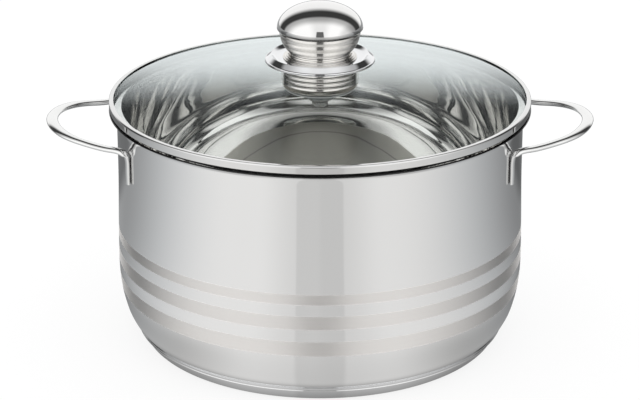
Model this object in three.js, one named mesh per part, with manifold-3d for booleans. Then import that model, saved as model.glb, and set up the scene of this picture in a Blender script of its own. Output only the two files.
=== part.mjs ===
// Stock pot with a glass lid, for a hob: a deep-drawn steel pot with a flared lip, a sandwich
// base and two wire handles, and a lid of glass in a steel rim with a hollow steel knob.
// Millimetres, +Z up. The origin is the centre of the base's underside, the pot's own axis is Z,
// and the line through both handles is X.

import * as THREE from 'three';
import { mergeVertices } from 'three/addons/utils/BufferGeometryUtils.js';
import Module from 'manifold-3d';

const wasm = await Module();
wasm.setup();

// ---------------------------------------------------------------------------
// Driving dimensions
// ---------------------------------------------------------------------------

const GAP = 0.3; // clearance between neighbouring pieces
const BODY_SEGMENTS = 48;
const KNOB_SEGMENTS = 32;
const SCREW_SEGMENTS = 20;

const base = {
  faceRadius: 104.8, // flat underside that rests on the hob
  heelRadius: 108.0,
  heelHeight: 1.9,
  topRadius: 112.2, // upper edge of the steel capsule
  topHeight: 9.3,
  capSheet: 0.6,
  coreThickness: 5.7,
  coreBottomRadius: 105.8,
  coreTopRadius: 109.2,
};

const shell = {
  sheet: 0.8,
  floorRadius: 101.0, // flat part of the pot's floor
  risingWall: [[109.0, 8.1], [113.1, 10.9], [116.7, 17.2], [119.7, 26.7], [121.4, 36.7]],
  bellyRadius: 122.0, // widest line of the wall
  bellyHeight: 48.7,
  upperWall: [[121.6, 72.7], [120.8, 102.7]],
  neckRadius: 120.6, // wall just under the lip
  neckHeight: 137.0,
  flareStart: 3.0, // how far above the neck the lip begins to turn out
  flareRadius: 122.0,
  flareDrop: 0.9,
  lipRadius: 125.2,
  lipHeight: 142.1, // underside of the lip's edge
};

const handle = {
  legAzimuth: 65.8, // degrees from the -Y and +Y directions towards +X
  legBottom: 110.0,
  legTop: 124.5,
  legWidth: 5.2, // the ends are pressed flat against the wall
  legThickness: 2.2,
  wireWidth: 6.1, // the loop's wire is a flattened oval
  wireThickness: 3.5,
  bendHeight: 129.8,
  // Stations of half the loop from the leg outwards: how far out along X, how far in along Y
  // towards the loop's own middle, and the height above the bend.
  halfLoop: [
    [1.2, 0.6, -1.6],
    [5.0, 2.6, 0.0],
    [13.6, 6.8, 0.1],
    [23.1, 12.2, 0.7],
    [32.1, 17.4, 1.9],
    [39.7, 24.6, 3.1],
    [45.7, 35.9, 4.2],
  ],
  apexReach: 159.8, // centre of the wire at the far end of the loop
  apexHeight: 134.3,
  sides: 10,
  stations: 46,
};

const lid = {
  glassRadius: 123.3,
  glassThickness: 3.4,
  glassEdgeTop: 147.9, // upper face of the glass where the rim grips it
  glassBevel: 0.9, // the ground edge of the glass
  crown: 4.3, // rise of the glass from the rim to the centre
  holeRadius: 4.6,
  rimInnerRadius: 122.3,
  rimOuterRadius: 125.0,
  rimTop: 148.8,
  rimBottom: 143.7,
  rimRoll: 1.8, // how far in from its outside the rim stays rounded
  rimReturn: 4.3, // how much further in the lower edge reaches than the upper one
  rimSheet: 0.5,
  sealGap: 0.2,
  sealHeight: 1.8,
};

const knob = {
  sheet: 0.7,
  footRadius: 18.6, // flat ring on which the skirt stands
  footRise: 3.6, // height over which the skirt rounds out
  skirtRadius: 22.9,
  skirtHeight: 13.0, // from the foot to the underside of the flange
  skirtFillet: 1.2, // step from the skirt to the underside of the flange
  flangeRadius: 32.5,
  flangeRise: 3.6, // from the top of the skirt to the widest line of the flange
  brimRadius: 31.7, // where the rounded brim meets the bevel
  brimRise: 1.0, // this and the next rises are measured from the widest line
  crestRadius: 28.9, // sharp crest of the bevel
  crestRise: 3.6,
  saucerRadius: 26.0, // the flange dips inside the crest
  saucerRise: 1.6,
  collarRadius: 22.0, // where the flange meets the sloping collar
  collarRise: 1.4,
  neckRadius: 17.4,
  neckRise: 5.2,
  cupBottomRadius: 17.6,
  cupBowl: [[19.9, 2.3], [22.1, 5.3], [23.4, 8.8]], // radius, and height above the cup's bottom
  cupRadius: 24.0,
  cupHeight: 12.2,
  domeLipRadius: 24.4, // the dome's edge, just above the cup
  domeLipRise: 0.4,
  domeRadius: 25.4,
  domeSeam: 1.6, // from the cup to the widest line of the dome
  domeRise: 15.2,
};

const fixing = {
  screwRadius: 2.5,
  headRadius: 4.8,
  headHeight: 3.0,
  recessDepth: 1.6,
  recessWidth: 1.1,
  recessLength: 5.4,
  boreRadius: 2.9, // clearance round the screw in every piece it passes through
  insertRadius: 7.0,
  insertHeight: 9.0,
  headChamfer: 1.2,
  tipChamfer: 0.8,
  springWasherRadius: 4.7,
  springWasherThickness: 1.0,
  slotWidth: 0.6,
  slotSlant: 25, // degrees
  washerRadius: 7.6,
  washerThickness: 1.0,
  gasketRadius: 9.0,
  gasketThickness: 1.2,
  sleeveDrop: 0.4, // how far the gasket's sleeve ends below the upper face of the glass
  upperGasketInner: 16.5,
  upperGasketOuter: 20.6,
  upperGasketThickness: 0.8,
};

// Heights that follow from the driving dimensions.
const coreBottom = base.capSheet + GAP;
const floorBottom = coreBottom + base.coreThickness + GAP;
const glassTop = lid.glassEdgeTop + lid.crown;
const glassBottom = glassTop - lid.glassThickness;
const upperGasketTop = glassTop + GAP + fixing.upperGasketThickness;
const footHeight = upperGasketTop + GAP;
const flangeBottom = footHeight + knob.skirtHeight;
const flangeEdge = flangeBottom + knob.flangeRise;
const neckHeight = flangeEdge + knob.neckRise;
const cupBottom = neckHeight + GAP;
const cupTop = cupBottom + knob.cupHeight;
const domeHeight = cupTop + knob.domeSeam; // widest line of the knob's dome

// ---------------------------------------------------------------------------
// Geometry helpers
// ---------------------------------------------------------------------------

const point = (radius, height) => new THREE.Vector2(radius, height);

// Revolves an outline of radius and height about Z. The outline runs anticlockwise, which is
// up on the outside, and either starts and ends on the axis or closes on itself.
function revolve(outline, segments) {
  const geometry = new THREE.LatheGeometry(outline, segments);
  geometry.rotateX(Math.PI / 2);
  return geometry;
}

// Moves a line sideways, to its left, by the thickness of a sheet.
function offsetLine(line, thickness) {
  return line.map((here, i) => {
    const before = line[Math.max(i - 1, 0)];
    const after = line[Math.min(i + 1, line.length - 1)];
    const along = after.clone().sub(before).normalize();
    const radius = here.x === 0 ? 0 : here.x - along.y * thickness;
    return point(radius, here.y + along.x * thickness);
  });
}

// Outline of a thin sheet, from the line of its outer face. A line that starts away from the
// axis leaves a hole, so that outline is closed on itself.
function sheetOutline(outer, thickness) {
  const outline = [...outer, ...offsetLine(outer, thickness).reverse()];
  if (outer[0].x > 0) outline.push(outer[0].clone());
  return outline;
}

// Closed outline of a plain ring with a rectangular section.
function ringOutline(inner, outer, bottom, top) {
  return [
    point(inner, bottom),
    point(outer, bottom),
    point(outer, top),
    point(inner, top),
    point(inner, bottom),
  ];
}

function toSolid(geometry) {
  const bare = geometry.clone();
  bare.deleteAttribute('normal');
  bare.deleteAttribute('uv');
  const merged = mergeVertices(bare, 1e-4);
  return new wasm.Manifold(new wasm.Mesh({
    numProp: 3,
    vertProperties: merged.attributes.position.array,
    triVerts: Uint32Array.from(merged.index.array),
  }));
}

function toGeometry(solid) {
  const mesh = solid.getMesh();
  const geometry = new THREE.BufferGeometry();
  geometry.setAttribute('position', new THREE.BufferAttribute(mesh.vertProperties, 3));
  geometry.setIndex(new THREE.BufferAttribute(mesh.triVerts, 1));
  return geometry;
}

function cut(geometry, tools) {
  const solid = tools.reduce((left, tool) => left.subtract(toSolid(tool)), toSolid(geometry));
  return toGeometry(solid);
}

// ---------------------------------------------------------------------------
// Pot
// ---------------------------------------------------------------------------

function shellGeometry() {
  const wall = new THREE.SplineCurve([
    point(shell.floorRadius, floorBottom),
    ...shell.risingWall.map((station) => point(...station)),
    point(shell.bellyRadius, shell.bellyHeight),
    ...shell.upperWall.map((station) => point(...station)),
    point(shell.neckRadius, shell.neckHeight),
  ]);
  const lip = new THREE.CubicBezierCurve(
    point(shell.neckRadius, shell.neckHeight),
    point(shell.neckRadius, shell.neckHeight + shell.flareStart),
    point(shell.flareRadius, shell.lipHeight - shell.flareDrop),
    point(shell.lipRadius, shell.lipHeight),
  );
  const outer = [
    point(0, floorBottom),
    ...wall.getSpacedPoints(14),
    ...lip.getSpacedPoints(4).slice(1),
  ];
  return revolve(sheetOutline(outer, shell.sheet), BODY_SEGMENTS);
}

function baseCoreGeometry() {
  const top = coreBottom + base.coreThickness;
  return revolve([
    point(0, coreBottom),
    point(base.coreBottomRadius, coreBottom),
    point(base.coreTopRadius, top),
    point(0, top),
  ], BODY_SEGMENTS);
}

function baseCapGeometry() {
  const heel = new THREE.QuadraticBezierCurve(
    point(base.faceRadius, 0),
    point((base.faceRadius + base.heelRadius) / 2, 0),
    point(base.heelRadius, base.heelHeight),
  );
  const outer = [
    point(0, 0),
    ...heel.getSpacedPoints(3),
    point(base.topRadius, base.topHeight),
  ];
  return revolve(sheetOutline(outer, base.capSheet), BODY_SEGMENTS);
}

// Centre line of a handle's wire, on the +X side, from the +Y leg round to the -Y leg.
function handlePath() {
  const azimuth = THREE.MathUtils.degToRad(handle.legAzimuth);
  const legRadius = shell.neckRadius + GAP + handle.legThickness / 2;
  const legX = legRadius * Math.sin(azimuth);
  const legY = legRadius * Math.cos(azimuth);
  const leg = [handle.legBottom, (handle.legBottom + handle.legTop) / 2, handle.legTop];
  const half = [
    ...leg.map((height) => [legX, legY, height]),
    ...handle.halfLoop.map(([out, inward, rise]) => (
      [legX + out, legY - inward, handle.bendHeight + rise]
    )),
  ];
  const apex = [[handle.apexReach, 0, handle.apexHeight]];
  const otherHalf = half.map(([x, y, z]) => [x, -y, z]).reverse();
  const points = [...half, ...apex, ...otherHalf].map((p) => new THREE.Vector3(...p));
  return new THREE.CatmullRomCurve3(points);
}

// Direction across the wire's wide side: level on the loop, and along the wall on the legs.
// The loop's share grows as the wire turns from upright to level.
function acrossWire(centre, tangent) {
  const up = new THREE.Vector3(0, 0, 1);
  const level = Math.hypot(tangent.x, tangent.y);
  const loopShare = THREE.MathUtils.smoothstep(level, 0.25, 0.95);
  const outward = new THREE.Vector3(centre.x, centre.y, 0).normalize();
  const onLeg = up.clone().cross(outward).multiplyScalar(Math.sign(centre.y));
  const onLoop = up.clone().cross(tangent).normalize();
  const across = onLeg.lerp(onLoop, loopShare);
  across.addScaledVector(tangent, -across.dot(tangent)).normalize();
  return { across, loopShare };
}

// The handle is swept by hand, ring by ring, because its section changes from the flat legs to
// the oval loop. Both ends are closed with a fan.
function handleGeometry() {
  const path = handlePath();
  const positions = [];
  const triangles = [];
  const { sides, stations } = handle;
  for (let station = 0; station <= stations; station += 1) {
    const centre = path.getPointAt(station / stations);
    const tangent = path.getTangentAt(station / stations);
    const { across, loopShare } = acrossWire(centre, tangent);
    const through = tangent.clone().cross(across);
    const halfWidth = THREE.MathUtils.lerp(handle.legWidth, handle.wireWidth, loopShare) / 2;
    const halfDepth = THREE.MathUtils.lerp(handle.legThickness, handle.wireThickness, loopShare) / 2;
    for (let side = 0; side < sides; side += 1) {
      const angle = (2 * Math.PI * side) / sides;
      const corner = centre.clone()
        .addScaledVector(across, halfWidth * Math.cos(angle))
        .addScaledVector(through, halfDepth * Math.sin(angle));
      positions.push(corner.x, corner.y, corner.z);
    }
  }
  for (let station = 0; station < stations; station += 1) {
    for (let side = 0; side < sides; side += 1) {
      const a = station * sides + side;
      const b = station * sides + ((side + 1) % sides);
      triangles.push(a, b, b + sides);
      triangles.push(a, b + sides, a + sides);
    }
  }
  const last = stations * sides;
  for (let side = 1; side < sides - 1; side += 1) {
    triangles.push(0, side + 1, side);
    triangles.push(last, last + side, last + side + 1);
  }
  const geometry = new THREE.BufferGeometry();
  geometry.setAttribute('position', new THREE.Float32BufferAttribute(positions, 3));
  geometry.setIndex(triangles);
  return geometry;
}

// ---------------------------------------------------------------------------
// Lid
// ---------------------------------------------------------------------------

// Upper face of the glass: a shallow crown that is steepest at the rim.
function glassHeight(radius) {
  return lid.glassEdgeTop + lid.crown * (1 - (radius / lid.glassRadius) ** 2);
}

function glassGeometry() {
  const steps = 6;
  const faceRadius = lid.glassRadius - lid.glassBevel;
  const top = [];
  for (let i = 0; i <= steps; i += 1) {
    const radius = THREE.MathUtils.lerp(lid.holeRadius, faceRadius, i / steps);
    top.push(point(radius, glassHeight(radius)));
  }
  const bottom = top.map((here) => point(here.x, here.y - lid.glassThickness));
  const edge = [
    point(lid.glassRadius, bottom[steps].y + lid.glassBevel),
    point(lid.glassRadius, top[steps].y - lid.glassBevel),
  ];
  return revolve([...bottom, ...edge, ...top.reverse(), bottom[0].clone()], BODY_SEGMENTS);
}

// The rim is one strip of steel rolled round the edge of the glass, open towards the centre.
function rimBandGeometry() {
  const middle = (lid.rimTop + lid.rimBottom) / 2;
  const halfHeight = (lid.rimTop - lid.rimBottom) / 2;
  const rollCentre = lid.rimOuterRadius - lid.rimRoll;
  const quarter = Math.PI / 2;
  const roll = new THREE.EllipseCurve(
    rollCentre, middle, lid.rimRoll, halfHeight, -quarter, quarter,
  );
  const outer = [
    point(lid.rimInnerRadius - lid.rimReturn, lid.rimBottom),
    ...roll.getSpacedPoints(7),
    point(lid.rimInnerRadius, lid.rimTop),
  ];
  return revolve(sheetOutline(outer, lid.rimSheet), BODY_SEGMENTS);
}

function knobFlangeGeometry() {
  const foot = new THREE.QuadraticBezierCurve(
    point(knob.footRadius, footHeight),
    point(knob.skirtRadius, footHeight),
    point(knob.skirtRadius, footHeight + knob.footRise),
  );
  const brim = new THREE.QuadraticBezierCurve(
    point(knob.flangeRadius - knob.sheet, flangeEdge - knob.sheet),
    point(knob.flangeRadius + knob.sheet, flangeEdge + knob.sheet),
    point(knob.brimRadius, flangeEdge + knob.brimRise),
  );
  const outer = [
    ...foot.getSpacedPoints(3),
    point(knob.skirtRadius, flangeBottom),
    point(knob.skirtRadius + knob.skirtFillet, flangeBottom + knob.skirtFillet),
    ...brim.getSpacedPoints(4),
    point(knob.crestRadius, flangeEdge + knob.crestRise),
    point(knob.saucerRadius, flangeEdge + knob.saucerRise),
    point(knob.collarRadius, flangeEdge + knob.collarRise),
    point(knob.neckRadius, neckHeight),
    point(fixing.boreRadius, neckHeight),
  ];
  return revolve(sheetOutline(outer, knob.sheet), KNOB_SEGMENTS);
}

function knobCupGeometry() {
  const side = new THREE.SplineCurve([
    point(knob.cupBottomRadius, cupBottom),
    ...knob.cupBowl.map(([radius, rise]) => point(radius, cupBottom + rise)),
    point(knob.cupRadius, cupTop),
  ]);
  const outer = [point(fixing.boreRadius, cupBottom), ...side.getSpacedPoints(7)];
  return revolve(sheetOutline(outer, knob.sheet), KNOB_SEGMENTS);
}

function knobDomeGeometry() {
  const steps = 8;
  const outer = [point(knob.domeLipRadius, cupTop + knob.domeLipRise)];
  for (let i = 0; i <= steps; i += 1) {
    const angle = (Math.PI / 2) * (i / steps);
    const radius = i === steps ? 0 : knob.domeRadius * Math.cos(angle);
    outer.push(point(radius, domeHeight + knob.domeRise * Math.sin(angle)));
  }
  return revolve([...outer, ...offsetLine(outer, knob.sheet).reverse(), outer[0]], KNOB_SEGMENTS);
}

// ---------------------------------------------------------------------------
// Fixings that hold the knob to the glass
// ---------------------------------------------------------------------------

const insertBottom = cupBottom + knob.sheet + GAP;
const lowerGasketTop = glassBottom - GAP;
const washerTop = lowerGasketTop - fixing.gasketThickness - GAP;
const springWasherTop = washerTop - fixing.washerThickness - GAP;
const headTop = springWasherTop - fixing.springWasherThickness - GAP;

function insertGeometry() {
  const top = insertBottom + fixing.insertHeight;
  const outline = ringOutline(fixing.boreRadius, fixing.insertRadius, insertBottom, top);
  return revolve(outline, SCREW_SEGMENTS);
}

function upperGasketGeometry() {
  const { upperGasketInner, upperGasketOuter } = fixing;
  const bottom = glassTop + GAP;
  return revolve(
    ringOutline(upperGasketInner, upperGasketOuter, bottom, upperGasketTop), KNOB_SEGMENTS,
  );
}

// A silicone washer with a sleeve that lines the hole in the glass.
function lowerGasketGeometry() {
  const sleeveRadius = lid.holeRadius - GAP;
  const bottom = lowerGasketTop - fixing.gasketThickness;
  const sleeveTop = glassTop - fixing.sleeveDrop;
  return revolve([
    point(fixing.boreRadius, bottom),
    point(fixing.gasketRadius, bottom),
    point(fixing.gasketRadius, lowerGasketTop),
    point(sleeveRadius, lowerGasketTop),
    point(sleeveRadius, sleeveTop),
    point(fixing.boreRadius, sleeveTop),
    point(fixing.boreRadius, bottom),
  ], SCREW_SEGMENTS);
}

function washerGeometry() {
  const bottom = washerTop - fixing.washerThickness;
  const outline = ringOutline(fixing.boreRadius, fixing.washerRadius, bottom, washerTop);
  return revolve(outline, SCREW_SEGMENTS);
}

// A spring washer is a ring with one slanting slot through it.
function springWasherGeometry() {
  const { boreRadius, springWasherRadius, springWasherThickness } = fixing;
  const bottom = springWasherTop - springWasherThickness;
  const outline = ringOutline(boreRadius, springWasherRadius, bottom, springWasherTop);
  const slot = new THREE.BoxGeometry(
    springWasherRadius, fixing.slotWidth, 3 * springWasherThickness,
  );
  slot.rotateX(THREE.MathUtils.degToRad(fixing.slotSlant));
  slot.translate((boreRadius + springWasherRadius) / 2, 0, (bottom + springWasherTop) / 2);
  return cut(revolve(outline, SCREW_SEGMENTS), [slot]);
}

function screwGeometry() {
  const { headRadius, headChamfer, screwRadius, tipChamfer } = fixing;
  const headBottom = headTop - fixing.headHeight;
  const tip = insertBottom + fixing.insertHeight - tipChamfer;
  const body = revolve([
    point(0, headBottom),
    point(headRadius - headChamfer, headBottom),
    point(headRadius, headBottom + headChamfer),
    point(headRadius, headTop),
    point(screwRadius, headTop),
    point(screwRadius, tip - tipChamfer),
    point(screwRadius - tipChamfer, tip),
    point(0, tip),
  ], SCREW_SEGMENTS);
  const recesses = [0, Math.PI / 2].map((turn) => {
    const slot = new THREE.BoxGeometry(fixing.recessLength, fixing.recessWidth, 2 * fixing.recessDepth);
    slot.rotateZ(turn);
    slot.translate(0, 0, headBottom);
    return slot;
  });
  return cut(body, recesses);
}

// The bead of sealant that beds the edge of the glass in its rim.
function rimSealGeometry() {
  const inner = lid.glassRadius + lid.sealGap;
  const outer = lid.rimOuterRadius - lid.rimSheet - GAP;
  const middle = (lid.rimTop + lid.rimBottom) / 2;
  const half = lid.sealHeight / 2;
  return revolve(ringOutline(inner, outer, middle - half, middle + half), BODY_SEGMENTS);
}

// ---------------------------------------------------------------------------
// Materials and assembly
// ---------------------------------------------------------------------------

const polishedSteel = { color: 0xc9cacc, roughness: 0.06, metalness: 1 };
const satinSteel = { color: 0xb9b7b2, roughness: 0.32, metalness: 1 };
const zincedSteel = { color: 0xa9abad, roughness: 0.4, metalness: 1 };
const aluminium = { color: 0xb4b7ba, roughness: 0.45, metalness: 1 };
const silicone = { color: 0x8f9392, roughness: 0.7, metalness: 0 };
const glass = { color: 0xdfe9e8, roughness: 0.02, metalness: 0, transparent: true, opacity: 0.35 };

function addPiece(group, name, geometry, finish) {
  const mesh = new THREE.Mesh(geometry, new THREE.MeshStandardMaterial(finish));
  mesh.name = name;
  group.add(mesh);
  return mesh;
}

function makePot() {
  const pot = new THREE.Group();
  addPiece(pot, 'pot_shell', shellGeometry(), polishedSteel);
  addPiece(pot, 'base_core_disc', baseCoreGeometry(), aluminium);
  addPiece(pot, 'base_cap', baseCapGeometry(), polishedSteel);
  addPiece(pot, 'handle_right', handleGeometry(), polishedSteel);
  const left = addPiece(pot, 'handle_left', handleGeometry(), polishedSteel);
  left.rotation.z = Math.PI;
  return pot;
}

function makeLid() {
  const group = new THREE.Group();
  addPiece(group, 'lid_glass', glassGeometry(), glass);
  addPiece(group, 'lid_rim_band', rimBandGeometry(), polishedSteel);
  addPiece(group, 'lid_rim_seal', rimSealGeometry(), silicone);
  addPiece(group, 'knob_flange', knobFlangeGeometry(), satinSteel);
  addPiece(group, 'knob_lower_cup', knobCupGeometry(), satinSteel);
  addPiece(group, 'knob_dome', knobDomeGeometry(), polishedSteel);
  addPiece(group, 'knob_insert', insertGeometry(), zincedSteel);
  addPiece(group, 'knob_screw', screwGeometry(), zincedSteel);
  addPiece(group, 'screw_spring_washer', springWasherGeometry(), zincedSteel);
  addPiece(group, 'screw_washer', washerGeometry(), zincedSteel);
  addPiece(group, 'gasket_lower', lowerGasketGeometry(), silicone);
  addPiece(group, 'gasket_upper', upperGasketGeometry(), silicone);
  return group;
}

const stockPot = new THREE.Group();
stockPot.add(makePot(), makeLid());

export default stockPot;
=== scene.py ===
"""Looks of the stock pot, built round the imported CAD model.

The turned pieces are fine meshes whose outlines come from their CAD nodes. The handles are
swept wires that fit their CAD boxes. The screw and its spring washer keep their CAD meshes.
Every piece has a node-based material. Lengths are in metres, +Z is up, and the pot's axis is
the Z axis.
"""

import math

import bmesh
import bpy
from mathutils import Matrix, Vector


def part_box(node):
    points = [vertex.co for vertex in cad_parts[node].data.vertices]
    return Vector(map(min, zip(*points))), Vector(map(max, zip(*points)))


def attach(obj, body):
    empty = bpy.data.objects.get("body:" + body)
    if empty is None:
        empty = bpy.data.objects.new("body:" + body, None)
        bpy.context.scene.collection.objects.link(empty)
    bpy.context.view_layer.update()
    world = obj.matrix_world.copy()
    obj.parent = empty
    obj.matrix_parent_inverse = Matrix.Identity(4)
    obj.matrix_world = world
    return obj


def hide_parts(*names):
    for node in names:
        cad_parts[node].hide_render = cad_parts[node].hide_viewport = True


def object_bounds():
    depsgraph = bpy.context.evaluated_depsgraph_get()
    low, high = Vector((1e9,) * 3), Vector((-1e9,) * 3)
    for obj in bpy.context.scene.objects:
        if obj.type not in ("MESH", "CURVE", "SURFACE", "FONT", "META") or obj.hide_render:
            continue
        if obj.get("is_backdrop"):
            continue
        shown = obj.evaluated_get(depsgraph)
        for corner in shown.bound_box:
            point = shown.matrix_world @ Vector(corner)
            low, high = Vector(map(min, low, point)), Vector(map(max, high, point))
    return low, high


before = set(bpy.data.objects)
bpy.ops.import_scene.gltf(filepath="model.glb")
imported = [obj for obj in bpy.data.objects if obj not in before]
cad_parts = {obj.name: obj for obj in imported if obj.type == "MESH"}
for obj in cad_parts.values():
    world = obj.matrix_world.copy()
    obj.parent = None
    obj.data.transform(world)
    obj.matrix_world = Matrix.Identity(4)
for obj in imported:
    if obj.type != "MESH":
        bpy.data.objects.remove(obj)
cad_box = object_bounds()

MM = 0.001
BODY_SEGMENTS = 288
KNOB_SEGMENTS = 192
SCREW_SEGMENTS = 96

# Heights of the three satin bands on the wall, lowest first, as (bottom, top).
BANDS = ((33.7 * MM, 43.0 * MM), (50.4 * MM, 58.5 * MM), (65.3 * MM, 71.6 * MM))
BAND_EDGE = 0.25 * MM

# Handle wire: pressed flat on the legs, a flattened oval on the loop, and widest at its far end.
LEG_WIDTH, LEG_THICKNESS = 5.2 * MM, 2.2 * MM
ARM_WIDTH, ARM_THICKNESS = 5.8 * MM, 3.3 * MM
END_WIDTH, END_THICKNESS = 6.8 * MM, 3.6 * MM
HANDLE_SIDES = 40
LEG_AZIMUTH = math.radians(65.8)
LEG_RADIUS = 122.0 * MM
LEG_HEIGHT = 14.5 * MM
BEND_DROP = 4.5 * MM
# The wire's section changes from leg to loop as the level part of its direction grows from the
# first of these to the second, and from arm to end over these distances from its far end.
LOOP_LEVEL = (0.25, 0.95)
END_STRETCH = (22 * MM, 4 * MM)
# Its two ends are rounded over this length, down to this share of their size.
TIP_LENGTH = 0.8 * MM
TIP_SHARE = 0.75
WIRE_SPACING = 0.55 * MM
# Half of the handle's centre line, from the leg outwards, in millimetres: how far out along X,
# how far in towards the loop's own middle, and the height above the bend.
HALF_LOOP = (
    (1.2, 0.6, -1.6),
    (5.0, 2.6, 0.0),
    (13.6, 6.8, 0.1),
    (23.1, 12.2, 0.7),
    (32.1, 17.4, 1.9),
    (39.7, 24.6, 3.1),
    (45.7, 35.9, 4.2),
)

# Fine rings turned into the knob. Their faces lean back, more and less in waves up its height:
# (mean lean, change, share of the height where a ring leans least, wavelength as a share).
RING_PITCH = 0.75 * MM
RING_EDGE = 0.07 * MM
CUP_WAVES = (math.radians(12), math.radians(7), 0.47, 0.34)
SKIRT_WAVES = (math.radians(10), math.radians(4.5), 0.57, 0.3)
COLLAR_WAVES = (math.radians(7.5), math.radians(3), 0.5, 0.7)
# How plumb and how tall the flange's skirt is, next to its other straight stretches.
SKIRT_PLUMB = 0.05 * MM
SKIRT_TALL = 5.0 * MM
# Turns sharper than this are corners of the flange. The rest of its outline is smooth.
FLANGE_CORNER = math.radians(39.3)

# The strip rolled round the lid's glass. Its lower edge is turned down into the pot's mouth.
# That turned-down edge is lined with near-black silicone: painted shade of the gap under the rim.
RIM_SHEET = 0.5 * MM
RIM_CLEARANCE = 0.3 * MM
RIM_TURNED_DOWN = 4.0 * MM
RIM_CORNER = math.radians(60)
RIM_EDGE = 0.12 * MM
# Its flat underside ends this far in from its outer face. Its corners below and above are
# rounded, as (stretch across, stretch up, size), and a round takes up less than half a stretch.
RIM_FLAT_END = 1.4 * MM
RIM_TURN_BELOW = (1.5 * MM, 2.0 * MM, 0.9 * MM)
RIM_TURN_ABOVE = (3.0 * MM, 3.0 * MM, 1.1 * MM)

# Light mirrored from the floor, on its left and right half: the level in front, then how it
# changes with the angle from the front, as (from degrees, to degrees, change).
FLOOR_LEFT = (0.97, ((42, 124, -0.62), (135, 165, 0.12)))
FLOOR_RIGHT = (0.93, ((30, 135, -0.68), (132, 155, 0.16)))

# The dark wedge between two lamps: half its width at the axis, which is below zero because it
# starts further out, how that grows with distance, how soft its sides and its near end are, and
# the share of light it leaves.
WEDGE_START = -9.3 * MM
WEDGE_GROWTH = 0.211
WEDGE_SIDES = (-2 * MM, 3 * MM)
WEDGE_END = (-20 * MM, 0.0)
WEDGE_SHARE = 0.87
# The floor next to the wedge is a little darker too.
NEAR_WEDGE = (math.radians(9), math.radians(30), 0.85, 1.0)
# Where the left half of the floor passes into the right half.
MIDDLE = (-10 * MM, 10 * MM)
# Shade close to the base: (from reach, to reach, from share, to share).
BASE_SHADE = ((0.105, 0.118, 0.45, 0.97), (0.118, 0.165, 1.0, 1.07))
# Shade beside the pot: the reach over which it fades, the angles over which it grows, and the
# share of light it leaves.
BESIDE_REACH = (0.13, 0.20)
BESIDE_ANGLE = (0.2, 1.0)
BESIDE_SHARE = 0.6
# A dark strip across the back of the table: the Y where it grows, the Y where it fades, and the
# share of light it leaves.
STRIP_NEAR = (0.18, 0.24)
STRIP_FAR = (0.5, 0.65)
STRIP_SHARE = 0.5
# A lit patch straight behind the pot, seen from the back only: the angles from the front over
# which it grows, the reach over which it fades, and its level.
PATCH_ANGLE = (math.radians(158), math.radians(176))
PATCH_REACH = (0.35, 0.5)
PATCH_LEVEL = 0.85
# The light gets cooler towards the sides.
COOL_ANGLE = (math.radians(40), math.radians(95))
WARM_LIGHT = (1.0, 0.995, 0.985, 1)
COOL_LIGHT = (0.965, 0.985, 1.0, 1)

# Light mirrored from the studio, by the Y of its direction, where 1 is straight to the back, as
# (from, to, level at the first, level at the second).
BACKDROP = (0.60, 0.82, 0.05, 1.12)
TENT_BACK = (0.225, 0.375, 0.5, 0.0)
TENT_FRONT = (-0.31, 0.225, 0.75, 0.0)
# The tent is dimmer along its middle and at its right end, by the X of the direction.
TENT_MIDDLE = (0.1, 0.45, 0.8, 1.0)
TENT_RIGHT = (0.7, 0.95, 1.0, 0.7)
# The gap between the front lamps: the angles and then the Z of the direction over which it ends,
# and its level.
GAP_ANGLE = (math.radians(9.3), math.radians(11))
GAP_TOP = (0.61, 0.65)
GAP_LEVEL = 0.16

# Camera: distance to the point it looks at, its angle above level, that point's height, and its
# lens and sensor in millimetres.
CAMERA_DISTANCE = 1.3
CAMERA_ELEVATION = math.radians(21.3)
CAMERA_TARGET = 80.9 * MM
CAMERA_LENS = 120.8
CAMERA_SENSOR = 36.0

# The floor: the share of its brightness that is an even glow, how far it lies below the pot,
# and its radius.
FLOOR_GLOW = 0.85
FLOOR_DROP = 0.2 * MM
FLOOR_RADIUS = 6.0
# Even light on the pieces, next to the white that the camera sees.
ROOM_LIGHT = 1.6
# How strongly the lid's glass mirrors, next to plain glass: it grows from the first Y to the
# second, from the first share to the second.
GLASS_MIRROR = (-24 * MM, 66 * MM, 0.12, 3.0)
# The middle of the pot's floor is satin, out to the first radius, with a dark line at the second.
SATIN_FLOOR = 75.0 * MM
FLOOR_LINE = 55.0 * MM
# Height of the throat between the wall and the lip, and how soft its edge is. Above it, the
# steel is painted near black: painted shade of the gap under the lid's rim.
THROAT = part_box("pot_shell")[1].z - 1.86 * MM
THROAT_EDGE = 0.5 * MM
THROAT_SHADE_COLOUR = (0.03, 0.03, 0.03, 1)


# ---------------------------------------------------------------------------
# Outlines
# ---------------------------------------------------------------------------

def cad_outline(node):
    """Outline of a turned CAD node on its -Y side: (radius, height) pairs, anticlockwise."""
    mesh = bmesh.new()
    mesh.from_mesh(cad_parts[node].data)
    bmesh.ops.remove_doubles(mesh, verts=mesh.verts, dist=0.005 * MM)
    near = 0.01 * MM
    on_plane = {v for v in mesh.verts if abs(v.co.x) < near and v.co.y < near}
    links = {v: [] for v in on_plane}
    for edge in mesh.edges:
        a, b = edge.verts
        if a in on_plane and b in on_plane:
            links[a].append(b)
            links[b].append(a)
    ends = [v for v in on_plane if len(links[v]) == 1]
    here = min(ends or on_plane, key=lambda v: (v.co.z, v.co.y))
    walk, seen = [here], {here}
    while True:
        onward = [v for v in links[here] if v not in seen]
        if not onward:
            break
        here = max(onward, key=lambda v: -v.co.y) if len(walk) == 1 else onward[0]
        walk.append(here)
        seen.add(here)
    outline = [Vector((max(-v.co.y, 0.0), v.co.z)) for v in walk]
    mesh.free()
    if not ends and signed_area(outline) < 0:
        outline.reverse()
    return outline, not ends


def signed_area(outline):
    """Area inside a closed outline, above zero when it runs anticlockwise."""
    total = 0.0
    for a, b in zip(outline, outline[1:] + outline[:1]):
        total += a.x * b.y - b.x * a.y
    return total / 2


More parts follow.
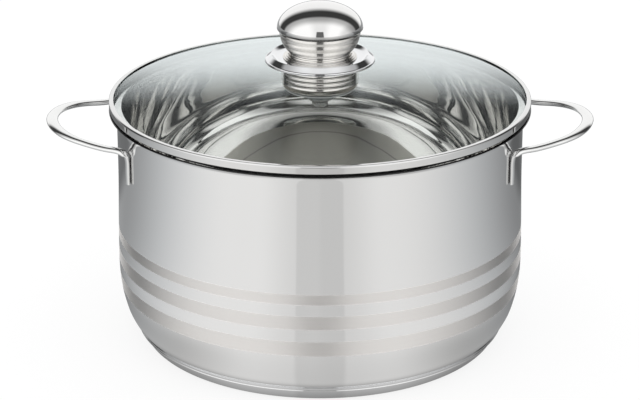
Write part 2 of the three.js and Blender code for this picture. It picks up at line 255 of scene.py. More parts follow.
def turn_at(before, here, after):
    """Angle by which an outline turns at a point."""
    first, second = here - before, after - here
    if first.length < 1e-9 or second.length < 1e-9:
        return 0.0
    return abs(first.angle_signed(second))


def split_at_corners(outline, closed, corner):
    """Runs of points between sharp corners. A closed outline starts at its first corner."""
    count = len(outline)
    if closed:
        sharp = [
            i for i in range(count)
            if turn_at(outline[i - 1], outline[i], outline[(i + 1) % count]) > corner
        ]
        if not sharp:
            return [outline + outline[:1]]
        turned = outline[sharp[0]:] + outline[:sharp[0]]
        outline = turned + turned[:1]
        count = len(outline)
    runs, run = [], [outline[0]]
    for i in range(1, count):
        run.append(outline[i])
        if i < count - 1 and turn_at(outline[i - 1], outline[i], outline[i + 1]) > corner:
            runs.append(run)
            run = [outline[i]]
    runs.append(run)
    return runs


def spline_through(points, spacing):
    """Catmull-Rom curve through the points, with new points about this far apart."""
    if len(points) == 2:
        padded = [points[0]] + points + [points[1]]
    else:
        padded = [2 * points[0] - points[1]] + points + [2 * points[-1] - points[-2]]
    fine = [points[0].copy()]
    for a, b, c, d in zip(padded, padded[1:], padded[2:], padded[3:]):
        steps = max(1, round((c - b).length / spacing))
        if len(points) == 2:
            steps = 1
        for step in range(1, steps + 1):
            t = step / steps
            fine.append(
                0.5 * (2 * b + (c - a) * t
                       + (2 * a - 5 * b + 4 * c - d) * t ** 2
                       + (3 * b - a - 3 * c + d) * t ** 3)
            )
    return fine


def rounded_corner(before, corner, after, radius, steps=4):
    """Points of a small round that replaces a sharp corner."""
    start = corner + (before - corner).normalized() * min(radius, (before - corner).length / 2.2)
    end = corner + (after - corner).normalized() * min(radius, (after - corner).length / 2.2)
    points = []
    for step in range(steps + 1):
        t = step / steps
        points.append(start * (1 - t) ** 2 + corner * 2 * t * (1 - t) + end * t ** 2)
    return points


def refined(outline, closed, spacing, corner=math.radians(48), edge=0.15 * MM):
    """The outline with smooth stretches made fine and its sharp corners rounded."""
    runs = [spline_through(run, spacing) for run in split_at_corners(outline, closed, corner)]
    fine = []
    for i, run in enumerate(runs):
        previous = runs[i - 1]
        if i > 0 or (closed and len(runs) > 1):
            fine += rounded_corner(previous[-2], run[0], run[1], edge)
            fine += run[1:-1]
        else:
            fine += run[:-1]
    if not closed:
        fine.append(runs[-1][-1])
    return fine


def along_of(outline):
    """Distance from the outline's start to each of its points."""
    total, distances = 0.0, [0.0]
    for a, b in zip(outline, outline[1:]):
        total += (b - a).length
        distances.append(total)
    return distances


# ---------------------------------------------------------------------------
# Meshes
# ---------------------------------------------------------------------------

def new_object(name, mesh):
    for polygon in mesh.polygons:
        polygon.use_smooth = True
    piece = bpy.data.objects.new(name, mesh)
    bpy.context.scene.collection.objects.link(piece)
    return piece


def store_along(mesh, values):
    """Keeps, for each vertex, its distance along the outline in millimetres."""
    attribute = mesh.attributes.new("along", "FLOAT", "POINT")
    attribute.data.foreach_set("value", [value / MM for value in values])


def lathe(name, outline, closed, segments, material_of=None):
    """Revolves an outline about Z. material_of(i) gives the material index of stretch i."""
    on_axis = 1e-7
    vertices, rings, distances = [], [], []
    for here, distance in zip(outline, along_of(outline)):
        count = 1 if here.x < on_axis else segments
        rings.append((len(vertices), count))
        for step in range(count):
            angle = 2 * math.pi * step / segments
            vertices.append((here.x * math.sin(angle), -here.x * math.cos(angle), here.y))
            distances.append(distance)
    faces, indices = [], []
    stretches = len(rings) if closed else len(rings) - 1
    for i in range(stretches):
        (low, low_count), (high, high_count) = rings[i], rings[(i + 1) % len(rings)]
        for step in range(segments):
            onward = (step + 1) % segments
            if low_count == 1:
                face = (low, high + onward, high + step)
            elif high_count == 1:
                face = (low + step, low + onward, high)
            else:
                face = (low + step, low + onward, high + onward, high + step)
            faces.append(face)
            indices.append(material_of(i) if material_of else 0)
    mesh = bpy.data.meshes.new(name)
    mesh.from_pydata(vertices, [], faces)
    mesh.polygons.foreach_set("material_index", indices)
    store_along(mesh, distances)
    mesh.update()
    return new_object(name, mesh)


def smoothstep(value, low, high):
    share = min(max((value - low) / (high - low), 0.0), 1.0)
    return share * share * (3 - 2 * share)


# ---------------------------------------------------------------------------
# Node helper
# ---------------------------------------------------------------------------

class Nodes:
    """Builds a node tree with short calls. Any input may be a number or another node's output."""

    def __init__(self, tree):
        self.tree = tree
        tree.nodes.clear()

    def add(self, kind, **settings):
        node = self.tree.nodes.new(kind)
        for key, value in settings.items():
            setattr(node, key, value)
        return node

    def feed(self, socket, value):
        if isinstance(value, bpy.types.NodeSocket):
            self.tree.links.new(value, socket)
        else:
            socket.default_value = value

    def math(self, operation, *values, clamp=False):
        node = self.add("ShaderNodeMath", operation=operation, use_clamp=clamp)
        for socket, value in zip(node.inputs, values):
            self.feed(socket, value)
        return node.outputs[0]

    def times(self, first, *others):
        """Product of all the values, from left to right."""
        for value in others:
            first = self.math("MULTIPLY", first, value)
        return first

    def ramp(self, value, low, high, low_to=0.0, high_to=1.0):
        """A smooth step from low_to to high_to as value goes from low to high."""
        node = self.add("ShaderNodeMapRange", interpolation_type="SMOOTHSTEP")
        sockets = (value, low, high, low_to, high_to)
        for socket, entry in zip(node.inputs, sockets):
            self.feed(socket, entry)
        return node.outputs[0]

    def mix(self, share, first, second):
        """Blend of two numbers."""
        node = self.add("ShaderNodeMix", data_type="FLOAT")
        self.feed(node.inputs[0], share)
        self.feed(node.inputs[2], first)
        self.feed(node.inputs[3], second)
        return node.outputs[0]

    def mix_colour(self, share, first, second, blend="MIX"):
        node = self.add("ShaderNodeMix", data_type="RGBA", blend_type=blend)
        self.feed(node.inputs[0], share)
        self.feed(node.inputs[6], first)
        self.feed(node.inputs[7], second)
        return node.outputs[2]

    def split(self, vector):
        node = self.add("ShaderNodeSeparateXYZ")
        self.feed(node.inputs[0], vector)
        return node.outputs

    def join(self, x, y, z):
        node = self.add("ShaderNodeCombineXYZ")
        for socket, value in zip(node.inputs, (x, y, z)):
            self.feed(socket, value)
        return node.outputs[0]

    def position(self):
        """Point on the object at rest, in metres, whatever pose the body is in."""
        return self.add("ShaderNodeTexCoord").outputs["Object"]

    def reach(self, x, y):
        """Distance from the Z axis."""
        return self.math("SQRT", self.math("ADD", self.times(x, x), self.times(y, y)))

    def azimuth(self, x, y):
        """Angle round the Z axis from the front, which is -Y."""
        return self.math("ARCTAN2", x, self.times(y, -1.0))

    def along(self):
        """Distance along the piece's outline, in millimetres."""
        return self.add("ShaderNodeAttribute", attribute_name="along").outputs["Fac"]

    def noise(self, vector, scale, detail=2.0, roughness=0.5):
        node = self.add("ShaderNodeTexNoise")
        self.feed(node.inputs["Vector"], vector)
        self.feed(node.inputs["Scale"], scale)
        self.feed(node.inputs["Detail"], detail)
        self.feed(node.inputs["Roughness"], roughness)
        return node.outputs[0]

    def bump(self, height, strength, distance):
        node = self.add("ShaderNodeBump")
        self.feed(node.inputs["Strength"], strength)
        self.feed(node.inputs["Distance"], distance)
        self.feed(node.inputs["Height"], height)
        return node.outputs[0]

    def shader(self, kind, **inputs):
        """A shader with its inputs fed by name. An underscore stands for a space."""
        node = self.add(kind)
        for key, value in inputs.items():
            self.feed(node.inputs[key.replace("_", " ")], value)
        return node.outputs[0]

    def blend(self, share, first, second):
        """Blend of two shaders."""
        node = self.add("ShaderNodeMixShader")
        for socket, value in zip(node.inputs, (share, first, second)):
            self.feed(socket, value)
        return node.outputs[0]

    def output(self, surface, kind="ShaderNodeOutputMaterial"):
        """Ends the tree with this shader."""
        self.feed(self.add(kind).inputs["Surface"], surface)


def grey(level):
    return (level, level, level, 1.0)


def new_material(name):
    material = bpy.data.materials.new(name)
    material.use_nodes = True
    return material, Nodes(material.node_tree)


def finish_material(n, **inputs):
    """Adds a Principled shader fed by inputs, and the output."""
    n.output(n.shader("ShaderNodeBsdfPrincipled", **inputs))


# ---------------------------------------------------------------------------
# Materials
# ---------------------------------------------------------------------------

def ring_coordinate(n, around, stretch):
    """A coordinate that changes fast along the outline and slowly round the axis."""
    x, y, _ = n.split(n.position())
    angle = n.azimuth(x, y)
    wave_x = n.times(n.math("SINE", angle), around)
    wave_y = n.times(n.math("COSINE", angle), around)
    return n.join(wave_x, wave_y, n.times(n.along(), stretch))


def band_mask(n, height):
    """1 inside the satin bands and 0 elsewhere."""
    band = 0.0
    for bottom, top in BANDS:
        inside = n.times(
            n.ramp(height, bottom - BAND_EDGE, bottom + BAND_EDGE),
            n.ramp(height, top - BAND_EDGE, top + BAND_EDGE, 1.0, 0.0),
        )
        band = n.math("ADD", band, inside)
    return band


def around_axis(n):
    """Direction of lines that run round the Z axis."""
    return n.add("ShaderNodeTangent", direction_type="RADIAL", axis="Z").outputs[0]


def gap_shade(n):
    """1 on the lip where the lid's rim covers it closely, and 0 in the open."""
    _, _, height = n.split(n.position())
    open_share = n.add("ShaderNodeAmbientOcclusion", samples=6)
    n.feed(open_share.inputs["Distance"], 5.0 * MM)
    closed = n.ramp(open_share.outputs["AO"], 0.35, 0.85, 1.0, 0.0)
    return n.times(closed, n.ramp(height, THROAT - THROAT_EDGE, THROAT + THROAT_EDGE))


def wall_steel():
    """Mirror-polished steel with three satin bands ground into it, dark in the lip's throat.
    That dark is painted shade.
    """
    material, n = new_material("polished_steel_with_bands_and_painted_shade")
    position = n.position()
    _, _, height = n.split(position)
    band = band_mask(n, height)
    lines = n.noise(ring_coordinate(n, 1.5, 9.0), 1.0, detail=3.0, roughness=0.7)
    smear = n.noise(position, 14.0, detail=3.0)
    polish = n.ramp(smear, 0.3, 0.75, 0.035, 0.07)
    satin = n.ramp(lines, 0.25, 0.75, 0.5, 0.6)
    polished = n.mix_colour(smear, (0.765, 0.765, 0.765, 1), (0.735, 0.735, 0.735, 1))
    brushed = n.mix_colour(lines, (0.84, 0.82, 0.80, 1), (0.95, 0.93, 0.91, 1))
    colour = n.mix_colour(band, polished, brushed)
    # Painted shade: near black above the throat, for the dark gap under the lid's rim.
    throat_shade = n.ramp(height, THROAT - THROAT_EDGE, THROAT + THROAT_EDGE)
    colour = n.mix_colour(throat_shade, colour, THROAT_SHADE_COLOUR)
    finish_material(
        n,
        Base_Color=colour,
        Metallic=1.0,
        Roughness=n.mix(band, polish, satin),
        Anisotropic=n.times(band, 0.97),
        Anisotropic_Rotation=0.25,
        Tangent=around_axis(n),
        Normal=n.bump(lines, n.mix(band, 0.004, 0.12), 0.02 * MM),
    )
    return material


def dome_steel_with_painted_shade():
    """Polished steel, with painted shade: darkened where the dome's edge curls in over the cup."""
    material, n = new_material("dome_steel_with_painted_shade")
    position = n.position()
    _, _, height = n.split(position)
    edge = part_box("knob_dome")[0].z
    smear = n.noise(position, 40.0, detail=4.0)
    lines = n.noise(ring_coordinate(n, 2.0, 6.0), 1.0, detail=2.0)
    colour = n.mix_colour(smear, (0.79, 0.785, 0.775, 1), (0.74, 0.735, 0.73, 1))
    # Painted shade: darker towards the dome's lower edge, in the crevice over the cup.
    shade = n.ramp(height, edge + 1.2 * MM, edge + 3.4 * MM, 0.42, 1.0)
    colour = n.mix_colour(shade, (0.12, 0.12, 0.12, 1), colour)
    finish_material(
        n,
        Base_Color=colour,
        Metallic=1.0,
        Roughness=n.ramp(smear, 0.3, 0.7, 0.03, 0.06),
        Normal=n.bump(lines, 0.01, 0.02 * MM),
    )
    return material


def polished_steel(name, tint=(0.76, 0.765, 0.775)):
    """Polished steel with faint smears and buffing lines."""
    material, n = new_material(name)
    position = n.position()
    smear = n.noise(position, 40.0, detail=4.0)
    lines = n.noise(ring_coordinate(n, 2.0, 6.0), 1.0, detail=2.0)
    colour = n.mix_colour(smear, (*tint, 1), (*(0.94 * c for c in tint), 1))
    finish_material(
        n,
        Base_Color=colour,
        Metallic=1.0,
        Roughness=n.ramp(smear, 0.3, 0.7, 0.035, 0.075),
        Normal=n.bump(lines, 0.01, 0.02 * MM),
    )
    return material


def inside_steel():
    """The pot's inside: polished wall, and a floor left satin, with lines that run round it.
    The lip is painted near black as shade where the lid's rim covers it.
    """
    material, n = new_material("inside_steel")
    position = n.position()
    x, y, _ = n.split(position)
    lines = n.noise(ring_coordinate(n, 3.0, 4.0), 1.0, detail=4.0, roughness=0.65)
    patch = n.noise(position, 18.0, detail=3.0)
    colour = n.mix_colour(patch, (0.86, 0.855, 0.845, 1), (0.80, 0.795, 0.785, 1))
    reach = n.reach(x, y)
    polished = n.ramp(reach, SATIN_FLOOR - 1.5 * MM, SATIN_FLOOR + 1.5 * MM)
    off_line = n.math("ABSOLUTE", n.math("SUBTRACT", reach, FLOOR_LINE))
    on_line = n.ramp(off_line, 0.6 * MM, 1.3 * MM, 1.0, 0.0)
    satin_colour = n.mix_colour(on_line, (0.52, 0.505, 0.465, 1), (0.33, 0.32, 0.30, 1))
    colour = n.mix_colour(polished, satin_colour, colour)
    # Painted shade: the lip goes near black where the lid's rim covers it closely.
    colour = n.mix_colour(gap_shade(n), colour, THROAT_SHADE_COLOUR)
    satin = n.ramp(lines, 0.3, 0.7, 0.5, 0.6)
    roughness = n.mix(polished, satin, n.ramp(lines, 0.3, 0.7, 0.012, 0.022))
    finish_material(
        n,
        Base_Color=colour,
        Metallic=1.0,
        Roughness=roughness,
        Normal=n.bump(patch, 1.0, 0.05 * MM),
    )
    return material


def turned_steel():
    """Knob steel polished over the fine rings of the lathe."""
    material, n = new_material("turned_steel")
    fine = n.noise(ring_coordinate(n, 0.25, 16.0), 1.0, detail=2.0, roughness=0.6)
    broad = n.noise(ring_coordinate(n, 0.15, 3.0), 1.0, detail=2.0)
    rings = n.mix(0.5, fine, broad)
    colour = n.mix_colour(n.ramp(rings, 0.3, 0.7), (0.60, 0.58, 0.545, 1), (0.78, 0.77, 0.75, 1))
    finish_material(
        n,
        Base_Color=colour,
        Metallic=1.0,
        Roughness=n.ramp(rings, 0.3, 0.7, 0.06, 0.13),
        Normal=n.bump(rings, 0.35, 0.03 * MM),
    )
    return material


def wire_steel():
    """Handle wire: drawn steel, polished, with faint lines along its length."""
    material, n = new_material("wire_steel")
    smear = n.noise(n.position(), 60.0, detail=4.0)
    colour = n.mix_colour(smear, (0.80, 0.80, 0.795, 1), (0.75, 0.75, 0.74, 1))
    finish_material(
        n,
        Base_Color=colour,
        Metallic=1.0,
        Roughness=n.ramp(smear, 0.3, 0.7, 0.045, 0.09),
        Normal=n.bump(smear, 0.02, 0.05 * MM),
    )
    return material


def plated_steel():
    """Zinc-plated steel, dull and a little mottled."""
    material, n = new_material("plated_steel")
    grain = n.noise(n.position(), 900.0, detail=4.0)
    patch = n.noise(n.position(), 150.0, detail=2.0)
    colour = n.mix_colour(patch, (0.6, 0.615, 0.63, 1), (0.7, 0.705, 0.69, 1))
    finish_material(
        n,
        Base_Color=colour,
        Metallic=1.0,
        Roughness=n.ramp(grain, 0.3, 0.7, 0.24, 0.42),
        Normal=n.bump(grain, 0.1, 0.02 * MM),
    )
    return material


def rolled_aluminium():
    """Plain aluminium with its grain along X."""
    material, n = new_material("rolled_aluminium")
    x, y, z = n.split(n.position())
    grain = n.noise(n.join(n.times(x, 0.04), y, z), 1600.0, detail=3.0)
    colour = n.mix_colour(grain, (0.7, 0.71, 0.72, 1), (0.82, 0.825, 0.83, 1))
    finish_material(
        n,
        Base_Color=colour,
        Metallic=1.0,
        Roughness=n.ramp(grain, 0.3, 0.7, 0.3, 0.5),
        Normal=n.bump(grain, 0.15, 0.02 * MM),
    )
    return material


def soft_silicone(name, low, high):
    """Matt silicone, in fine grains between two colours."""
    material, n = new_material(name)
    grain = n.noise(n.position(), 1200.0, detail=3.0)
    colour = n.mix_colour(grain, (*low, 1), (*high, 1))
    finish_material(
        n,
        Base_Color=colour,
        Roughness=n.ramp(grain, 0.3, 0.7, 0.5, 0.7),
        Normal=n.bump(grain, 0.2, 0.02 * MM),
    )
    return material


def lid_glass_material():
    """Clear toughened glass. It is thin, so it passes rays straight on and mirrors a share."""
    material, n = new_material("lid_glass")
    position = n.position()
    _, y, _ = n.split(position)
    wave = n.noise(position, 9.0, detail=2.0)
    away = n.add("ShaderNodeLayerWeight")
    n.feed(away.inputs["Blend"], 0.5)
    grazing = n.math("POWER", away.outputs["Facing"], 5.0)
    share = n.math("ADD", n.times(grazing, 0.96), 0.04)
    share = n.math("MULTIPLY", share, n.ramp(y, *GLASS_MIRROR), clamp=True)
    pass_colour = n.mix_colour(wave, (0.975, 0.985, 0.983, 1), (0.982, 0.99, 0.988, 1))
    clear = n.shader("ShaderNodeBsdfTransparent", Color=pass_colour)
    shine = n.shader(
        "ShaderNodeBsdfGlossy",
        Color=(0.80, 0.845, 0.85, 1),
        Roughness=0.015,
        Normal=n.bump(wave, 0.004, 1.0 * MM),
    )
    n.output(n.blend(share, clear, shine))
    return material


# ---------------------------------------------------------------------------
# Pieces
# ---------------------------------------------------------------------------

def place(piece, body, slot, materials, *nodes):
    """Gives a piece its materials and its body, and hides the CAD nodes it replaces.
    Its slot is not used.
    """
    for material in materials:
        piece.data.materials.append(material)
    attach(piece, body)
    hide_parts(*nodes)


def turned_piece(node, segments, spacing, **options):
    """A fine mesh of a turned CAD node."""
    outline, closed = cad_outline(node)
    return lathe(node + "_fine", refined(outline, closed, spacing, **options), closed, segments)


def radius_on(line, height):
    """Radius of a rising line at a height."""
    for a, b in zip(line, line[1:]):
        if a.y <= height <= b.y:
            return a.x + (b.x - a.x) * (height - a.y) / (b.y - a.y)
    return line[-1].x


def turned_rings(line, pitch, lean):
    """A rising line cut into a stack of fine rings. lean(share) is how far a ring's face leans
    back, where share is its height on the line."""
    bottom, top = line[0].y, line[-1].y
    count = round((top - bottom) / pitch)
    step = (top - bottom) / count
    stack = []
    for ring in range(count):
        low = bottom + ring * step
        high = low + step
        edge = max(radius_on(line, low), radius_on(line, high))
        back = step * math.tan(lean((ring + 0.5) / count))
        stack += [Vector((edge, low)), Vector((edge - back, high))]
    return stack


def waves(mean, change, least, wavelength):
    """Lean of a ring by its share of the height: it rises and falls in waves."""
    return lambda share: mean - change * math.cos(2 * math.pi * (share - least) / wavelength)


def make_cup(turned):
    """The knob's lower half, turned in fine rings up to its widest place."""
    outline, closed = cad_outline("knob_lower_cup")
    widest = max(range(len(outline)), key=lambda i: outline[i].x)
    rings = turned_rings(outline[:widest + 1], RING_PITCH, waves(*CUP_WAVES))
    outline = refined(rings + outline[widest + 1:], closed, 0.3 * MM, edge=RING_EDGE)
    cup = lathe("knob_lower_cup_fine", outline, closed, KNOB_SEGMENTS)
    place(cup, "lid", "knob_steel", [turned], "knob_lower_cup")


def make_flange(turned, polished):
    """The skirt and the collar are turned in fine rings. The brim between them is polished."""
    outline, closed = cad_outline("knob_flange")
    top = max(point.y for point in outline)
    upright = [
        i for i in range(len(outline) - 1)
        if abs(outline[i + 1].x - outline[i].x) < SKIRT_PLUMB
        and outline[i + 1].y - outline[i].y > SKIRT_TALL
    ]
    skirt = max(upright, key=lambda i: outline[i].x)
    neck = next(i for i in range(len(outline)) if outline[i].y > top - 0.01 * MM)
    skirt_top, collar_foot = outline[skirt + 1], outline[neck - 1]
    skirt_line = turned_rings(outline[skirt:skirt + 2], RING_PITCH, waves(*SKIRT_WAVES))
    collar_line = turned_rings(outline[neck - 1:neck + 1], RING_PITCH, waves(*COLLAR_WAVES))
    outline = (
        outline[:skirt] + skirt_line + outline[skirt + 2:neck - 1] + collar_line + outline[neck + 1:]
    )
    fine = refined(outline, closed, 0.3 * MM, corner=FLANGE_CORNER, edge=RING_EDGE)

    def material_of(i):
        return 1 if fine[i].x > collar_foot.x and fine[i].y > skirt_top.y else 0

    flange = lathe("knob_flange_fine", fine, closed, KNOB_SEGMENTS, material_of)
    place(flange, "lid", "knob_steel", [turned, polished], "knob_flange")


def make_rim(polished, shade_lining):
    """Steel strip round the glass: upright outer face, and an edge below lined as painted shade."""
    low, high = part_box("lid_rim_band")
    cad, _ = cad_outline("lid_rim_band")
    lower_inner = min(point.x for point in cad)
    upper_inner = min(point.x for point in cad if point.y > high.z - 0.1 * MM)
    below = Vector((high.x, low.z + RIM_CLEARANCE))
    above = Vector((high.x, high.z))
    profile = [
        Vector((lower_inner, below.y - RIM_TURNED_DOWN)),
        Vector((lower_inner, below.y)),
        Vector((below.x - RIM_FLAT_END, below.y)),
    ]
    across, up, radius = RIM_TURN_BELOW
    profile += rounded_corner(below - Vector((across, 0)), below, below + Vector((0, up)), radius)
    across, up, radius = RIM_TURN_ABOVE
    profile += rounded_corner(above - Vector((0, up)), above, above - Vector((across, 0)), radius)
    profile.append(Vector((upper_inner, above.y)))
    inside = []
    for i, here in enumerate(profile):
        before, after = profile[max(i - 1, 0)], profile[min(i + 1, len(profile) - 1)]
        along = (after - before).normalized()
        inside.append(Vector((here.x - along.y * RIM_SHEET, here.y + along.x * RIM_SHEET)))
    outline = refined(profile + inside[::-1], True, 0.3 * MM, corner=RIM_CORNER, edge=RIM_EDGE)

    # Painted shade: the turned-down edge takes the near-black lining.
    def material_of(i):
        return 1 if outline[i].y < below.y and outline[i].x > lower_inner - RIM_SHEET / 2 else 0

    rim = lathe("lid_rim_band_fine", outline, True, BODY_SEGMENTS, material_of)
    place(rim, "lid", "polished_steel", [polished, shade_lining], "lid_rim_band")


def make_shell(wall, inside):
    """The deep-drawn pot. Its inside starts past the lip."""
    outline, closed = cad_outline("pot_shell")
    fine = refined(outline, closed, 1.6 * MM, edge=0.3 * MM)
    lip = max(range(len(fine)), key=lambda i: fine[i].x)
    rim = max(range(len(fine)), key=lambda i: fine[i].y)
    last_outside = max(lip, rim)
    shell = lathe(
        "pot_shell_fine", fine, closed, BODY_SEGMENTS, lambda i: 0 if i <= last_outside else 1
    )
    place(shell, "pot", "polished_steel", [wall, inside], "pot_shell")


def handle_centres():
    """Control points of the right handle's centre line, leg to leg, from its CAD box."""
    low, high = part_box("handle_right")
    reach = high.x - END_WIDTH / 2
    apex = high.z - END_THICKNESS / 2
    leg_x, leg_y = LEG_RADIUS * math.sin(LEG_AZIMUTH), LEG_RADIUS * math.cos(LEG_AZIMUTH)
    half = [Vector((leg_x, leg_y, low.z + LEG_HEIGHT * share)) for share in (0.0, 0.5, 1.0)]
    for out, inward, rise in HALF_LOOP:
        half.append(Vector((leg_x + out * MM, leg_y - inward * MM, apex - BEND_DROP + rise * MM)))
    other = [Vector((p.x, -p.y, p.z)) for p in reversed(half)]
    return half + [Vector((reach, 0.0, apex))] + other


def wire_section(centre, tangent, end_x):
    """Half width and half depth of the wire, and the directions they lie in."""
    up = Vector((0, 0, 1))
    loop_share = smoothstep(math.hypot(tangent.x, tangent.y), *LOOP_LEVEL)
    end_share = smoothstep(centre.x, end_x - END_STRETCH[0], end_x - END_STRETCH[1])
    outward = Vector((centre.x, centre.y, 0)).normalized()
    on_leg = up.cross(outward) * (1 if centre.y > 0 else -1)
    level = up.cross(tangent)
    on_loop = level.normalized() if level.length > 1e-6 else on_leg
    across = on_leg.lerp(on_loop, loop_share)
    across = (across - tangent * across.dot(tangent)).normalized()
    through = tangent.cross(across)
    width = ARM_WIDTH + (END_WIDTH - ARM_WIDTH) * end_share
    depth = ARM_THICKNESS + (END_THICKNESS - ARM_THICKNESS) * end_share
    width = LEG_WIDTH + (width - LEG_WIDTH) * loop_share
    depth = LEG_THICKNESS + (depth - LEG_THICKNESS) * loop_share
    return across * width / 2, through * depth / 2


def handle_mesh(name, turned_round):
    """A wire swept along the right handle's centre line, or turned half way round the axis."""
    path = spline_through(handle_centres(), WIRE_SPACING)
    end_x = max(point.x for point in path)
    lengths = along_of(path)
    vertices, faces, distances = [], [], []
    for i, centre in enumerate(path):
        tangent = (path[min(i + 1, len(path) - 1)] - path[max(i - 1, 0)]).normalized()
        across, through = wire_section(centre, tangent, end_x)
        to_end = min(lengths[i], lengths[-1] - lengths[i])
        from_tip = 1 - min(to_end / TIP_LENGTH, 1.0)
        round_off = TIP_SHARE + (1 - TIP_SHARE) * math.sqrt(1 - from_tip ** 2)
        for side in range(HANDLE_SIDES):
            angle = 2 * math.pi * side / HANDLE_SIDES
            offset = across * math.cos(angle) + through * math.sin(angle)
            point = centre + offset * round_off
            if turned_round:
                point = Vector((-point.x, -point.y, point.z))
            vertices.append(point)
            distances.append(lengths[i])
    for i in range(len(path) - 1):
        for side in range(HANDLE_SIDES):
            a = i * HANDLE_SIDES + side
            b = i * HANDLE_SIDES + (side + 1) % HANDLE_SIDES
            faces.append((a, b, b + HANDLE_SIDES, a + HANDLE_SIDES))
    last = (len(path) - 1) * HANDLE_SIDES
    faces.append(tuple(reversed(range(HANDLE_SIDES))))
    faces.append(tuple(range(last, last + HANDLE_SIDES)))
    mesh = bpy.data.meshes.new(name)
    mesh.from_pydata(vertices, [], faces)
    store_along(mesh, distances)
    mesh.update()
    return new_object(name, mesh)


def make_pot():
    wall, inside = wall_steel(), inside_steel()
    make_shell(wall, inside)
    place(
        turned_piece("base_cap", BODY_SEGMENTS, 1.5 * MM, edge=0.05 * MM),
        "pot", "polished_steel", [polished_steel("base_steel")], "base_cap",
    )
    place(
        turned_piece("base_core_disc", BODY_SEGMENTS, 3.0 * MM, edge=0.06 * MM),
        "pot", "core_aluminium", [rolled_aluminium()], "base_core_disc",
    )
    wire = wire_steel()
    place(handle_mesh("handle_right_fine", False), "pot", "handle_steel", [wire], "handle_right")
    place(handle_mesh("handle_left_fine", True), "pot", "handle_steel", [wire], "handle_left")


def make_lid():
    polished = polished_steel("polished_steel")
    turned = turned_steel()
    plated = plated_steel()
    silicone = soft_silicone("grey_silicone", (0.24, 0.255, 0.25), (0.32, 0.335, 0.33))
    # Near-black silicone, for the rim seal and as painted shade lining the rim's turned-down edge.
    dark_silicone_and_painted_shade = soft_silicone("dark_silicone_and_painted_shade", (0.012, 0.012, 0.012), (0.02, 0.02, 0.02))
    # Node, segments round the axis, distance between the outline's points, size of its rounded
    # edges, slot and material.
    pieces = (
        ("lid_glass", BODY_SEGMENTS, 2.0 * MM, 0.3 * MM, "lid_glass", lid_glass_material()),
        ("lid_rim_seal", BODY_SEGMENTS, 0.5 * MM, 0.3 * MM, "silicone", dark_silicone_and_painted_shade),
        ("knob_dome", KNOB_SEGMENTS, 0.4 * MM, 0.2 * MM, "polished_steel", dome_steel_with_painted_shade()),
        ("knob_insert", SCREW_SEGMENTS, 0.5 * MM, 0.4 * MM, "fixing_steel", plated),
        ("screw_washer", SCREW_SEGMENTS, 0.5 * MM, 0.2 * MM, "fixing_steel", plated),
        ("gasket_lower", SCREW_SEGMENTS, 0.5 * MM, 0.3 * MM, "silicone", silicone),
        ("gasket_upper", KNOB_SEGMENTS, 0.5 * MM, 0.25 * MM, "silicone", silicone),
    )
    for node, segments, spacing, edge, slot, material in pieces:
        place(turned_piece(node, segments, spacing, edge=edge), "lid", slot, [material], node)
    make_rim(polished_steel("rim_steel", tint=(0.70, 0.70, 0.695)), dark_silicone_and_painted_shade)
    make_cup(turned)
    make_flange(turned, polished)
    for node in ("knob_screw", "screw_spring_washer"):
        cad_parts[node].data.materials.clear()
        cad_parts[node].data.materials.append(plated)


# ---------------------------------------------------------------------------
# Studio
# ---------------------------------------------------------------------------

def floor_side(n, azimuth, level_in_front, changes):
    """Mirrored level of one half of the floor, which changes with the angle from the front."""
    level = level_in_front
    for start, end, change in changes:
        step = n.ramp(azimuth, math.radians(start), math.radians(end), 0.0, change)
        level = n.math("ADD", level, step)
    return level


def front_wedge(n, x, y, reach):
    """1 in the dark wedge between the two front lamps, and 0 elsewhere."""
    half_wedge = n.math("ADD", n.times(reach, WEDGE_GROWTH), WEDGE_START)
    beside = n.math("SUBTRACT", n.math("ABSOLUTE", x), half_wedge)
    return n.times(n.ramp(beside, *WEDGE_SIDES, 1.0, 0.0), n.ramp(y, *WEDGE_END, 1.0, 0.0))


def floor_level(n, x, y, azimuth):
    """Mirrored level of the floor: a table lit from the front, with a dark wedge between two
    lamps, darker at the sides and across its back, with a lit patch behind."""
    reach = n.reach(x, y)
    left = floor_side(n, azimuth, *FLOOR_LEFT)
    right = floor_side(n, azimuth, *FLOOR_RIGHT)
    level = n.mix(n.ramp(x, *MIDDLE), left, right)
    beside_pot = n.times(n.ramp(reach, *BESIDE_REACH, 1.0, 0.0), n.ramp(azimuth, *BESIDE_ANGLE))
    strip = n.times(n.ramp(y, *STRIP_NEAR), n.ramp(y, *STRIP_FAR, 1.0, 0.0))
    level = n.times(
        level,
        n.ramp(azimuth, *NEAR_WEDGE),
        n.mix(front_wedge(n, x, y, reach), 1.0, WEDGE_SHARE),
        *(n.ramp(reach, *shade) for shade in BASE_SHADE),
        n.mix(beside_pot, 1.0, BESIDE_SHARE),
        n.mix(strip, 1.0, STRIP_SHARE),
    )
    patch = n.times(n.ramp(azimuth, *PATCH_ANGLE), n.ramp(reach, *PATCH_REACH, 1.0, 0.0))
    return n.mix(patch, level, PATCH_LEVEL)


def mirrored_floor(n, x, y):
    """What polished steel shows of the floor."""
    azimuth = n.math("ABSOLUTE", n.azimuth(x, y))
    colour = n.mix_colour(n.ramp(azimuth, *COOL_ANGLE), WARM_LIGHT, COOL_LIGHT)
    return n.shader("ShaderNodeEmission", Strength=floor_level(n, x, y, azimuth), Color=colour)


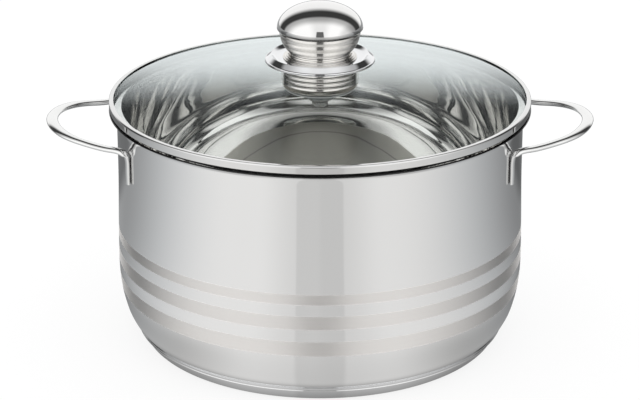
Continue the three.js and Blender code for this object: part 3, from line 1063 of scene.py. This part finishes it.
def make_floor():
    """A pale floor. In mirror reflections it is shaded as a table in a studio."""
    bpy.ops.mesh.primitive_circle_add(vertices=96, radius=FLOOR_RADIUS, fill_type="NGON")
    floor = bpy.context.object
    floor.name = "floor"
    floor.location.z = -FLOOR_DROP
    material, n = new_material("pale_floor")
    x, y, _ = n.split(n.add("ShaderNodeNewGeometry").outputs["Position"])
    grain = n.noise(n.join(x, y, 0.0), 60.0, detail=4.0)
    plain = n.shader("ShaderNodeBsdfDiffuse", Color=n.mix_colour(grain, grey(0.84), grey(0.86)))
    glow = n.shader("ShaderNodeEmission", Color=grey(0.97))
    mirror_ray = n.add("ShaderNodeLightPath").outputs["Is Glossy Ray"]
    n.output(n.blend(mirror_ray, n.blend(FLOOR_GLOW, plain, glow), mirrored_floor(n, x, y)))
    floor.data.materials.append(material)
    floor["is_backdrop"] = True


def mirrored_studio(n):
    """What polished steel shows of the studio, by direction: a white backdrop at the back, a
    dark ring round it, then a light tent that grows brighter to the front."""
    x, y, z = n.split(n.add("ShaderNodeTexCoord").outputs["Generated"])
    tent = n.times(
        n.math("ADD", n.ramp(y, *TENT_BACK), n.ramp(y, *TENT_FRONT)),
        n.ramp(n.math("ABSOLUTE", x), *TENT_MIDDLE),
        n.ramp(x, *TENT_RIGHT),
    )
    level = n.math("ADD", n.ramp(y, *BACKDROP), tent)
    azimuth = n.math("ABSOLUTE", n.azimuth(x, y))
    gap = n.times(n.ramp(azimuth, *GAP_ANGLE, 1.0, 0.0), n.ramp(z, *GAP_TOP, 1.0, 0.0))
    return n.mix(gap, level, GAP_LEVEL)


def make_world():
    """Even white light, except for the mirrored studio."""
    world = bpy.data.worlds.new("studio")
    world.use_nodes = True
    bpy.context.scene.world = world
    n = Nodes(world.node_tree)
    path = n.add("ShaderNodeLightPath")
    even = n.mix(path.outputs["Is Camera Ray"], ROOM_LIGHT, 1.0)
    level = n.mix(path.outputs["Is Glossy Ray"], even, mirrored_studio(n))
    light = n.shader("ShaderNodeBackground", Color=grey(1.0), Strength=level)
    n.output(light, kind="ShaderNodeOutputWorld")


def make_camera():
    camera = bpy.data.objects.new("camera", bpy.data.cameras.new("camera"))
    bpy.context.scene.collection.objects.link(camera)
    back = Vector((0, -math.cos(CAMERA_ELEVATION), math.sin(CAMERA_ELEVATION)))
    camera.location = Vector((0, 0, CAMERA_TARGET)) + back * CAMERA_DISTANCE
    camera.rotation_euler = (-back).to_track_quat("-Z", "Y").to_euler()
    camera.data.lens = CAMERA_LENS
    camera.data.sensor_width = CAMERA_SENSOR
    bpy.context.scene.camera = camera


make_pot()
make_lid()
make_floor()
make_world()
make_camera()
bpy.context.scene.view_settings.view_transform = "Standard"
bpy.context.scene.cycles.max_bounces = 16
bpy.context.scene.cycles.glossy_bounces = 8
bpy.context.scene.cycles.transparent_max_bounces = 16

visual_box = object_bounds()
boxes = {"cad": cad_box, "visual": visual_box}
{key: [list(low), list(high)] for key, (low, high) in boxes.items()}
